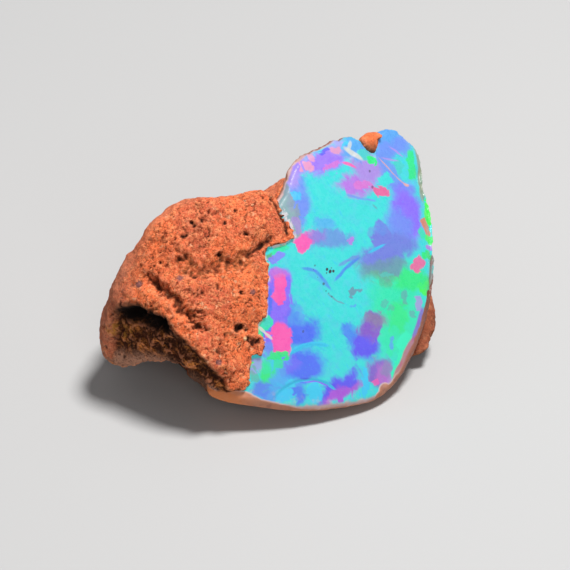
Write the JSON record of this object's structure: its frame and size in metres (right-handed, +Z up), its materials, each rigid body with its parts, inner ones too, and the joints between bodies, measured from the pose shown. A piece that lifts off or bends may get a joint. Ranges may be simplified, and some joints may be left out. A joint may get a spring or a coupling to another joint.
{
  "type": "rough opal",
  "caption": "Rough precious opal with a broad broken face, still seated in a lump of rusty volcanic host rock, resting on a flat underside.",
  "frame": {"origin": "on the surface that the stone rests on, under the middle of its outline seen from above", "axes": "+Z up, +X along the stone's length with the rock towards -X and the opal towards +X, and the opal's broken face looking towards -Y and up"},
  "size_m": [0.032, 0.027, 0.0189],
  "materials": {
    "precious_opal": "glossy broken opal with a vivid play of colour",
    "tuff": "matte granular rusty volcanic rock"
  },
  "bodies": {
    "root": {"opal": "precious_opal", "host_rock": "tuff"}
  },
  "joints": []
}
